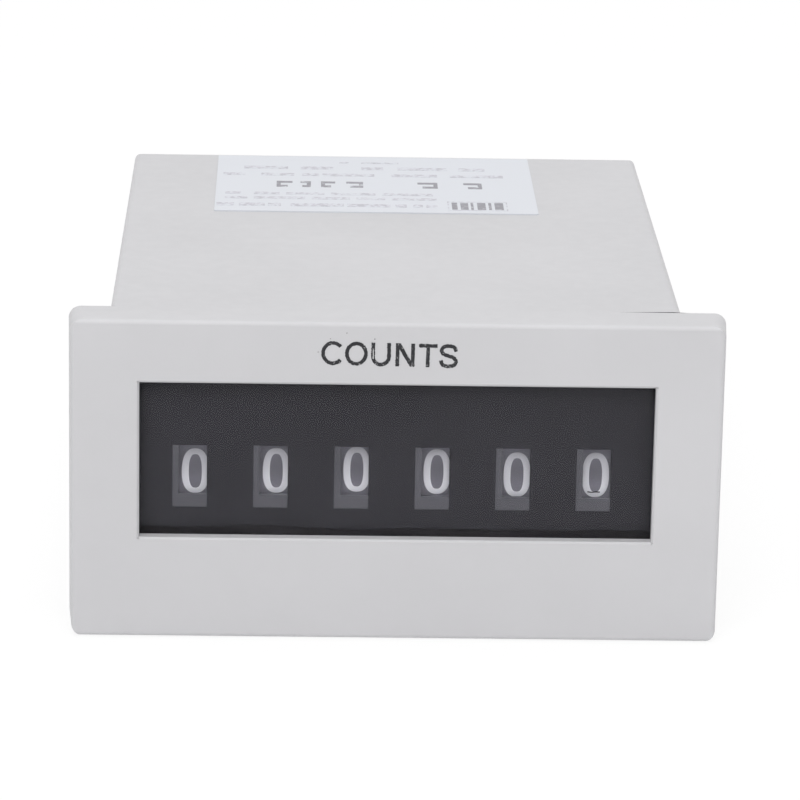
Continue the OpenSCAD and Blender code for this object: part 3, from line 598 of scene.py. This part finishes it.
class COUNTER_OT_glaze_window(bpy.types.Operator):
    """Gives the window its clear plastic, and what lies behind it its dark finishes, with painted light on
    the sight frame
    """
    bl_idname = "counter.glaze_window"
    bl_label = "Glaze the window"

    # Pads in a cut-out, left of the digit and below it, in millimetres: x ends from the wheel's middle,
    # then the section's corners as depth behind the mask's face and height from the axis.
    left_pad = ((-1.57, -1.10), ((0.02, -2.595), (0.02, 2.175), (0.90, 2.175), (0.90, -2.595)))
    lower_pad = ((-1.10, 0.97), ((0.02, -2.595), (0.02, -1.62), (0.49, -1.77), (0.49, -2.595)))
    # How much paler than the pads the sight frame is, as painted light on its ledge, which shows in the
    # shaded
    #     # gap above each lower pad
    ledge_painted_light = 2.2

    def execute(self, context):
        finish = context.scene.counter_finish
        dress(clear_plastic(), "window")
        dress(moulded("mask_plastic", finish.mask, patch=160.0, grain=1500.0, depth=1e-6, rough=(0.55, 0.68),
                      vary=0.05, gloss=0.08), "digit_mask")
        matt = {"patch": 200.0, "grain": 1500.0, "depth": 1e-6, "rough": (0.5, 0.62), "vary": 0.04,
                "gloss": 0.08}
        grey = moulded("pad_plastic", finish.sight, **matt)
        # The sight frame is painted paler than the pads, as painted light in the shaded gap above each lower
        # pad
        dress(moulded("sight_plastic", tint(finish.sight, self.ledge_painted_light), **matt), "sight_frame")
        for name, (ends, section) in (("left_pads", self.left_pad), ("lower_pads", self.lower_pad)):
            parts = []
            for place in PLACES:
                hub = JOINTS[place + "_turn"]["pos_m"]
                section_at = np.array(section) * MM + (MASK_LOW.y, hub[2])
                parts.append(prism(hub[0] + np.array(ends) * MM, [section_at, section_at]))
            put_mesh(name, *join(parts), grey, "case", "sight_plastic")
        return {"FINISHED"}


class COUNTER_OT_number_wheels(bpy.types.Operator):
    """Gives the drums their plastic with painted light and shade, and prints the ten digits round each, with
    painted shade on the digits' tops
    """
    bl_idname = "counter.number_wheels"
    bl_label = "Number the wheels"

    # How far each place has stopped from the true zero, in millimetres of drum surface
    rest_lag = (-0.15, -0.06, 0.10, -0.01, -0.18, -0.13)
    # How far the print of each place lies to the right, in millimetres
    print_side = (0.0, 0.02, 0.01, -0.02, -0.05, -0.19)
    # Painted shade on the digits' tops: the height from which the film's colour runs toward the drum's, from
    #     # -1 at the foot to 1 at the top, the height where it is darkest, and by what share
    thin = (-0.75, 1.0, 0.60)
    # Painted light and shade on the drums: where they are painted palest, in millimetres from a digit's
    # middle,
    #     # and the mean level and swing of the painted shade
    palest = -2.15
    painted_light_level = 1.36
    painted_light_swing = 0.40
    # Scuff across the foot of the units' zero, as points from its middle, and half its width, in millimetres
    scuff = ((-0.56, -1.30), (-0.28, -1.345), (0.04, -1.315), (0.38, -1.325))
    scuff_half = 0.045
    # Shade of the scuff beside the drums
    scuff_tint = 0.45

    def execute(self, context):
        finish, sizes = context.scene.counter_finish, context.scene.counter_print
        hub = JOINTS["units_turn"]["pos_m"]
        # The drums get painted light below each digit and painted shade near its middle
        palest = self.palest * MM / DRUM_RADIUS
        dress(drum_plastic(finish.drum, hub, DIGITS_ON_A_DRUM, palest, self.painted_light_level, self.painted_light_swing),
              *(place + "_wheel" for place in PLACES))
        self.print_digits(finish, sizes)
        self.scuff_units(finish, sizes)
        return {"FINISHED"}

    def print_digits(self, finish, sizes):
        """Ten digits round each drum. An open stroke is cut into short steps, so that it follows the drum."""
        # The digits' paint carries painted shade that darkens their tops
        paint = printed("digit_paint", finish.digit, finish.drum, speck=4200.0, cover=0.28, edge=0.06,
                        gloss=0.1, thin=self.thin)
        half = sizes.digit_stroke / 2
        step = half / 2
        reach = np.array([sizes.digit_width / 2 - half, sizes.digit_height / 2 - half])
        strokes = digit_strokes()
        for place in PLACES:
            parts, heights = [], []
            for value, paths in enumerate(strokes):
                for level, (path, closed) in enumerate(paths):
                    line = np.asarray(path) * reach
                    line = line if closed else even_path(line, step)
                    high = sizes.film * (1 + FILM_STEP * level)
                    points, quads = ribbon(line, half, -sizes.sink, high, closed, slim=sizes.digit_slim)
                    parts.append((self.wrap(points, place, value, sizes), quads))
                    heights.append(points[:, 1] / (sizes.digit_height / 2))
            put_mesh(place + "_digits", *join(parts), paint, place + "_place", "drum_plastic",
                     height=np.concatenate(heights))

    def scuff_units(self, finish, sizes):
        """Dark scuff over the film of the units' zero."""
        dark = moulded("digit_scuff", tint(finish.drum, self.scuff_tint), patch=900.0, gloss=0.1)
        line = smooth_path(np.array(self.scuff) * MM)
        points, quads = ribbon(line, self.scuff_half * MM, -sizes.sink, 2 * sizes.film)
        put_mesh("units_scuff", self.wrap(points, "units", 0, sizes), quads, dark, "units_place",
                 "drum_plastic")

    def wrap(self, points, place, value, sizes):
        """Points (u, v, w) wrapped round a drum: u lies along its axis, v runs along its surface from the
        middle of a digit, and w stands out from it."""
        at = PLACES.index(place)
        hub = JOINTS[place + "_turn"]["pos_m"]
        turn = (points[:, 1] + self.rest_lag[at] * MM) / DRUM_RADIUS - 2 * math.pi * value / DIGITS_ON_A_DRUM
        out = DRUM_RADIUS + points[:, 2]
        along = hub[0] + sizes.digit_shift + self.print_side[at] * MM + points[:, 0]
        return np.stack([along, hub[1] - out * np.cos(turn), hub[2] + out * np.sin(turn)], 1)


class COUNTER_OT_print_legend(bpy.types.Operator):
    """Prints the legend above the window"""
    bl_idname = "counter.print_legend"
    bl_label = "Print the legend"

    # Up to what share of the letters' height the ink is worn, and how many more pinholes it has there
    worn_share = 0.45
    worn_loss = 0.05
    # Bare streak in a letter: its ends, half its width and the steps of its ragged edge, in millimetres
    streak = ((-1.87, 0.52), (-1.89, 1.30))
    streak_half = 0.035
    streak_step = 0.08
    # Shades of the shell that show through pinholes and in the streak
    hole_tint = 0.75
    streak_tint = 0.86

    def execute(self, context):
        finish, sizes = context.scene.counter_finish, context.scene.counter_print
        foot = sizes.legend_foot
        worn_top = foot + self.worn_share * sizes.legend_height
        ink = printed("legend_ink", finish.ink, tint(finish.shell, self.hole_tint), speck=7500.0, cover=0.37,
                      edge=0.08, gloss=0.25, worn=(foot, worn_top, self.worn_loss))
        points, quads = join(legend_parts(sizes))
        put_mesh("counts_legend", self.on_face(points, sizes), quads, ink, "case", "mask_plastic")
        bare = moulded("legend_streak", tint(finish.shell, self.streak_tint), patch=900.0)
        line = even_path(np.array(self.streak) * MM, self.streak_step * MM)
        points, quads = ribbon(line, self.streak_half * MM, -sizes.sink, 2 * sizes.film,
                               ragged=sizes.legend_ragged)
        put_mesh("legend_streak", self.on_face(points, sizes), quads, bare, "case", "shell_plastic")
        return {"FINISHED"}

    def on_face(self, points, sizes):
        """Points (u, v, w) laid on the bezel's face, turned by the legend's tilt."""
        c, s = math.cos(sizes.legend_tilt), math.sin(sizes.legend_tilt)
        u, v, w = points.T
        return np.stack([c * u - s * v, BEZEL_LOW.y - w, sizes.legend_foot + s * u + c * v], 1)


class COUNTER_OT_dress_label(bpy.types.Operator):
    """Gives the label its paper and its rows of grey print"""
    bl_idname = "counter.dress_label"
    bl_label = "Dress the label"

    # Rows: height on the label, letter height and the words' ends, all as shares of the label
    rows = (
        (0.885, 0.022, ((0.39, 0.42), (0.46, 0.58))),
        (0.780, 0.050, ((0.085, 0.225), (0.265, 0.37), (0.46, 0.53), (0.575, 0.735), (0.77, 0.855))),
        (0.655, 0.045, ((0.02, 0.09), (0.14, 0.245), (0.27, 0.325), (0.335, 0.50), (0.555, 0.70),
                        (0.74, 0.91))),
        (0.310, 0.038, ((0.03, 0.08), (0.12, 0.20), (0.22, 0.34), (0.36, 0.50), (0.52, 0.68))),
        (0.230, 0.038, ((0.03, 0.10), (0.12, 0.28), (0.30, 0.42), (0.44, 0.53), (0.55, 0.69))),
        (0.110, 0.050, ((0.005, 0.06), (0.075, 0.155), (0.165, 0.205), (0.235, 0.40), (0.41, 0.545),
                        (0.56, 0.595), (0.615, 0.645), (0.655, 0.69))),
    )
    # Bold marks: the place of each one's stem and, beside it, how far its two bars reach to the right
    marks = ((0.19, 0.05), (0.285, -0.02), (0.33, 0.045), (0.45, -0.04), (0.685, -0.05), (0.825, -0.045))
    mark_at, mark_height, stem = 0.480, 0.105, 0.013
    # The two bars of a mark: their height from its middle as a share of the mark's height, and the share
    # of the reach that each has; then their thickness as a share of the mark's height
    mark_bars = ((0.34, 1.0), (-0.34, 0.7))
    mark_bar = 0.3
    # Bars of the code in the lower right corner, and their thin frame: its ends, half its height as a share
    # of the bars' and the thickness of its lines
    code = ((0.735, 0.752), (0.762, 0.786), (0.794, 0.802), (0.814, 0.840), (0.849, 0.858), (0.868, 0.895))
    code_at, code_height, code_ends = 0.120, 0.120, (0.722, 0.908)
    frame_half, frame_line = 0.62, 0.008
    # Shades of the words beside the marks, and of the paper that shows through the marks
    word_tint, worn_paper = 1.75, 0.9

    def execute(self, context):
        finish, sizes = context.scene.counter_finish, context.scene.counter_print
        dress(coated_paper(finish.paper), "label")
        grey = printed("label_words", tint(finish.label_ink, self.word_tint), finish.paper, speck=2400.0,
                       cover=0.50, edge=0.05)
        bold = printed("label_marks", finish.label_ink, tint(finish.paper, self.worn_paper), speck=1500.0,
                       cover=0.42, edge=0.08)
        words = [bar for at, height, ends in self.rows for bar in self.bars(at, height, ends)]
        marks = self.bold_marks() + self.bars(self.code_at, self.code_height, self.code)
        self.lay("label_words", words, grey, sizes)
        self.lay("label_marks", marks, bold, sizes)
        self.lay("label_frame", self.code_frame(), grey, sizes)
        return {"FINISHED"}

    def bars(self, at, height, ends):
        """Bars of one height on a row, as the two ends of each and its height."""
        return [((start, at), (end, at), height) for start, end in ends]

    def bold_marks(self):
        """Stem and two bars for each bold mark, the upper bar the longer one."""
        tall, at = self.mark_height, self.mark_at
        bars = []
        for stem, reach in self.marks:
            bars += self.bars(at, tall, [(stem, stem + self.stem)])
            for place, share in self.mark_bars:
                ends = sorted((stem, stem + share * reach))
                bars += self.bars(at + place * tall, self.mark_bar * tall, [ends])
        return bars

    def code_frame(self):
        """Four thin bars round the code."""
        (left, right), at = self.code_ends, self.code_at
        half, thin = self.frame_half * self.code_height, self.frame_line
        return (self.bars(at + half, thin, [(left, right)]) + self.bars(at - half, thin, [(left, right)])
                + self.bars(at, 2 * half, [(left, left + thin / 2), (right - thin / 2, right)]))

    def lay(self, name, bars, material, sizes):
        """Lays flat bars on the label, given as shares of it."""
        wide, deep = LABEL_HIGH.x - LABEL_LOW.x, LABEL_HIGH.y - LABEL_LOW.y
        corner, size = np.array([LABEL_LOW.x, LABEL_LOW.y]), np.array([wide, deep])
        parts = []
        for k, (start, end, height) in enumerate(bars):
            high = sizes.film * (1 + FILM_STEP * (k % FILM_STEPS))
            parts.append(ribbon(corner + np.array([start, end]) * size, height * deep / 2, -sizes.sink, high))
        points, quads = join(parts)
        put_mesh(name, points + (0, 0, LABEL_HIGH.z), quads, material, "case", "label_paper")


class COUNTER_OT_finish_works(bpy.types.Operator):
    """Gives the works inside their plastics and metals, and winds the coil"""
    bl_idname = "counter.finish_works"
    bl_label = "Finish the works"

    wire_pitch = 0.42 * MM
    turn_points = 72
    wire_points = 8

    def execute(self, context):
        finish = context.scene.counter_finish
        black = moulded("frame_plastic", finish.frame_black, patch=120.0, grain=5000.0, depth=5e-6,
                        rough=(0.4, 0.55), vary=0.15, gloss=0.06)
        dress(black, "chassis")
        ivory = moulded("white_plastic", finish.ivory, patch=180.0, grain=5000.0, depth=3e-6,
                        rough=(0.28, 0.4), vary=0.03)
        pinions = ["carry_pinion_%d" % i for i in range(1, len(PLACES))]
        dress(ivory, "coil_bobbin", "anchor_lever", *pinions)
        steel = brushed("steel", finish.steel, along="X")
        dress(steel, "wheel_shaft", "pinion_shaft", "armature_pin", "yoke_screws")
        iron = brushed("soft_iron", finish.iron, along="Y", rough=(0.32, 0.48))
        dress(iron, "magnet_core", "yoke", "armature")
        brass = brushed("spring_brass", finish.brass, along="Y", rough=(0.25, 0.4), vary=0.08)
        dress(brass, "terminals", "return_spring")
        wire = enamelled_wire(finish.copper)
        dress(wire, "coil_winding")
        piece = put_mesh("winding_turns", *self.winding(), wire, "case", "copper_wire", smooth=True)
        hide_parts("coil_winding")
        return {"FINISHED"}

    def winding(self):
        """Closed sleeve of helical turns. The outer radius drops by a half wire between turns, as the
        sine of the place along the coil less the angle does; the inner face is a plain tube."""
        axis_z = (CORE_LOW.z + CORE_HIGH.z) / 2
        outer = (WINDING_HIGH.z - WINDING_LOW.z) / 2
        inner = (CORE_HIGH.z - CORE_LOW.z) / 2 + self.wire_pitch
        turns = round((WINDING_HIGH.y - WINDING_LOW.y) / self.wire_pitch)
        along = np.linspace(0, 1, turns * self.wire_points + 1)
        turn = np.linspace(0, 2 * math.pi, self.turn_points, endpoint=False)
        wave = np.abs(np.sin(math.pi * turns * along[None, :] - turn[:, None] / 2))
        radius = outer - self.wire_pitch / 2 * (1 - wave)
        face = np.full((self.turn_points, 2), inner)
        radius = np.concatenate([face[:, :1], radius, face[:, 1:]], 1)
        y = WINDING_LOW.y + np.concatenate([along[:1], along, along[-1:]]) * (WINDING_HIGH.y - WINDING_LOW.y)
        points = np.stack([radius * np.cos(turn)[:, None], np.broadcast_to(y, radius.shape),
                           axis_z + radius * np.sin(turn)[:, None]], 2).reshape(-1, 3)
        n, m = radius.shape
        i, j = np.arange(n)[:, None], np.arange(m)[None, :]
        after, beside = (i + 1) % n, (j + 1) % m
        quads = np.stack([i * m + j, i * m + beside, after * m + beside, after * m + j], 2).reshape(-1, 4)
        return points, quads


class COUNTER_OT_set_stage(bpy.types.Operator):
    """Sets the floor, the soft light and the camera"""
    bl_idname = "counter.set_stage"
    bl_label = "Set the stage"

    floor_reach = 3.0
    # How much brighter than plain white the sky is that lights the digits through the window
    glass_lift = 0.9
    # Lamps: name, place, the point that each looks at, the length of its side and its power in watts
    lamps = (("top_softbox", (0.05, 0.10, 0.75), (0.0, 0.02, 0.0), 0.8, 2.7),
             ("front_softbox", (-0.12, -0.55, 0.55), (0.0, 0.0, 0.0), 0.6, 3.6))

    def execute(self, context):
        stage = context.scene.counter_stage
        context.scene.view_settings.view_transform = "Standard"
        self.lay_floor(stage)
        self.light_sky(context.scene, stage.sky)
        for lamp in self.lamps:
            self.hang_lamp(*lamp)
        self.place_camera(context.scene, stage)
        return {"FINISHED"}

    def lay_floor(self, stage):
        """Flat floor through the bezel's lower edge and the housing's rear lower edge, on which it rests."""
        slope = (HOUSING_LOW.z - BEZEL_LOW.z) / HOUSING_HIGH.y
        r = self.floor_reach
        corners = np.array([(-r, -r), (r, -r), (r, r), (-r, r)])
        points = np.column_stack([corners, BEZEL_LOW.z + slope * corners[:, 1]])
        mesh = bpy.data.meshes.new("floor")
        mesh.from_pydata(points.tolist(), [], [(0, 1, 2, 3)])
        dull = {"Roughness": 0.9, "Specular IOR Level": 0.0}
        made, tree, shader, place = start_material("floor_paper", **dull)
        cloud = noise(tree, place, 6.0, detail=2.0)
        tree.links.new(two_tone(tree, cloud, tint(stage.floor, 0.995), tint(stage.floor, 1.005)),
                       shader.inputs["Base Color"])
        self.whiten(tree, shader, stage.white)
        mesh.materials.append(made)
        floor = bpy.data.objects.new("floor", mesh)
        bpy.context.scene.collection.objects.link(floor)

    def whiten(self, tree, shader, share):
        """Lets camera, gloss and glass see plain white for a share of the floor, which keeps shadows soft."""
        white = add_node(tree, "ShaderNodeEmission", {"Color": (1, 1, 1, 1), "Strength": 1.0})
        output = next(node for node in tree.nodes if node.type == "OUTPUT_MATERIAL")
        self.mix(tree, calculate(tree, "MULTIPLY", self.seen(tree), share), shader, white, output)

    def mix(self, tree, factor, first, second, output):
        """Sends two shaders to the output, mixed by a factor."""
        made = add_node(tree, "ShaderNodeMixShader")
        tree.links.new(factor, made.inputs["Fac"])
        tree.links.new(first.outputs[0], made.inputs[1])
        tree.links.new(second.outputs[0], made.inputs[2])
        tree.links.new(made.outputs["Shader"], output.inputs["Surface"])

    def seen(self, tree):
        """One for the rays of the camera, of gloss and of glass, and zero for light that falls on things."""
        ray = add_node(tree, "ShaderNodeLightPath").outputs
        clear = calculate(tree, "MAXIMUM", ray["Is Camera Ray"], ray["Is Glossy Ray"])
        return calculate(tree, "MAXIMUM", clear, ray["Is Transmission Ray"])

    def light_sky(self, scene, level):
        """Soft light from all sides. The camera and gloss see plain white there, and glass a brighter one."""
        world = bpy.data.worlds.new("studio")
        world.use_nodes = True
        tree = world.node_tree
        tree.nodes.clear()
        soft = add_node(tree, "ShaderNodeBackground", {"Color": (1, 1, 1, 1), "Strength": level})
        white = add_node(tree, "ShaderNodeBackground", {"Color": (1, 1, 1, 1)})
        ray = add_node(tree, "ShaderNodeLightPath").outputs
        strength = calculate(tree, "MULTIPLY_ADD", ray["Is Transmission Ray"], self.glass_lift, 1.0)
        tree.links.new(strength, white.inputs["Strength"])
        self.mix(tree, self.seen(tree), soft, white, add_node(tree, "ShaderNodeOutputWorld"))
        scene.world = world

    def hang_lamp(self, name, at, aim, size, power):
        """Square soft lamp that looks at a point."""
        lamp = bpy.data.lights.new(name, "AREA")
        lamp.shape = "SQUARE"
        lamp.size = size
        lamp.energy = power
        holder = bpy.data.objects.new(name, lamp)
        holder.location = at
        holder.rotation_euler = (Vector(aim) - Vector(at)).to_track_quat("-Z", "Y").to_euler()
        bpy.context.scene.collection.objects.link(holder)

    def place_camera(self, scene, stage):
        """Camera whose view direction comes from yaw and pitch, turned about that direction by the roll."""
        cy, sy = math.cos(stage.yaw), math.sin(stage.yaw)
        cp, sp = math.cos(stage.pitch), math.sin(stage.pitch)
        ahead = Vector((sy * cp, cy * cp, -sp))
        right = Vector((cy, -sy, 0.0))
        up = right.cross(ahead)
        cr, sr = math.cos(stage.roll), math.sin(stage.roll)
        right, up = cr * right + sr * up, cr * up - sr * right
        data = bpy.data.cameras.new("photo_camera")
        data.sensor_width = 36.0
        data.lens = stage.lens
        data.clip_start, data.clip_end = 0.01, 20.0
        camera = bpy.data.objects.new("photo_camera", data)
        turn = Matrix((right, up, -ahead)).transposed()
        camera.matrix_world = Matrix.Translation(Vector(stage.eye)) @ turn.to_4x4()
        scene.collection.objects.link(camera)
        scene.camera = camera


class COUNTER_PT_sidebar(bpy.types.Panel):
    """Lists the counter's operators and sizes"""
    bl_idname = "COUNTER_PT_sidebar"
    bl_label = "Counter"
    bl_space_type = "VIEW_3D"
    bl_region_type = "UI"
    bl_category = "Counter"

    def draw(self, context):
        for operator in OPERATORS:
            self.layout.operator(operator.bl_idname)
        for group in ("counter_finish", "counter_print", "counter_stage"):
            box = self.layout.box()
            settings = getattr(context.scene, group)
            for key in settings.__annotations__:
                box.prop(settings, key)


GROUPS = {"counter_finish": CounterFinish, "counter_print": CounterPrint, "counter_stage": CounterStage}
OPERATORS = (COUNTER_OT_mould_shell, COUNTER_OT_glaze_window, COUNTER_OT_number_wheels,
             COUNTER_OT_print_legend, COUNTER_OT_dress_label, COUNTER_OT_finish_works, COUNTER_OT_set_stage)


def register():
    for name, group in GROUPS.items():
        bpy.utils.register_class(group)
        setattr(bpy.types.Scene, name, PointerProperty(type=group))
    for made in (*OPERATORS, COUNTER_PT_sidebar):
        bpy.utils.register_class(made)


def unregister():
    for made in (COUNTER_PT_sidebar, *reversed(OPERATORS)):
        bpy.utils.unregister_class(made)
    for name, group in GROUPS.items():
        delattr(bpy.types.Scene, name)
        bpy.utils.unregister_class(group)


def main():
    """Registers the add-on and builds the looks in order."""
    register()
    bpy.ops.counter.mould_shell()
    bpy.ops.counter.glaze_window()
    bpy.ops.counter.number_wheels()
    bpy.ops.counter.print_legend()
    bpy.ops.counter.dress_label()
    bpy.ops.counter.finish_works()
    bpy.ops.counter.set_stage()


if __name__ == "__main__":
    main()
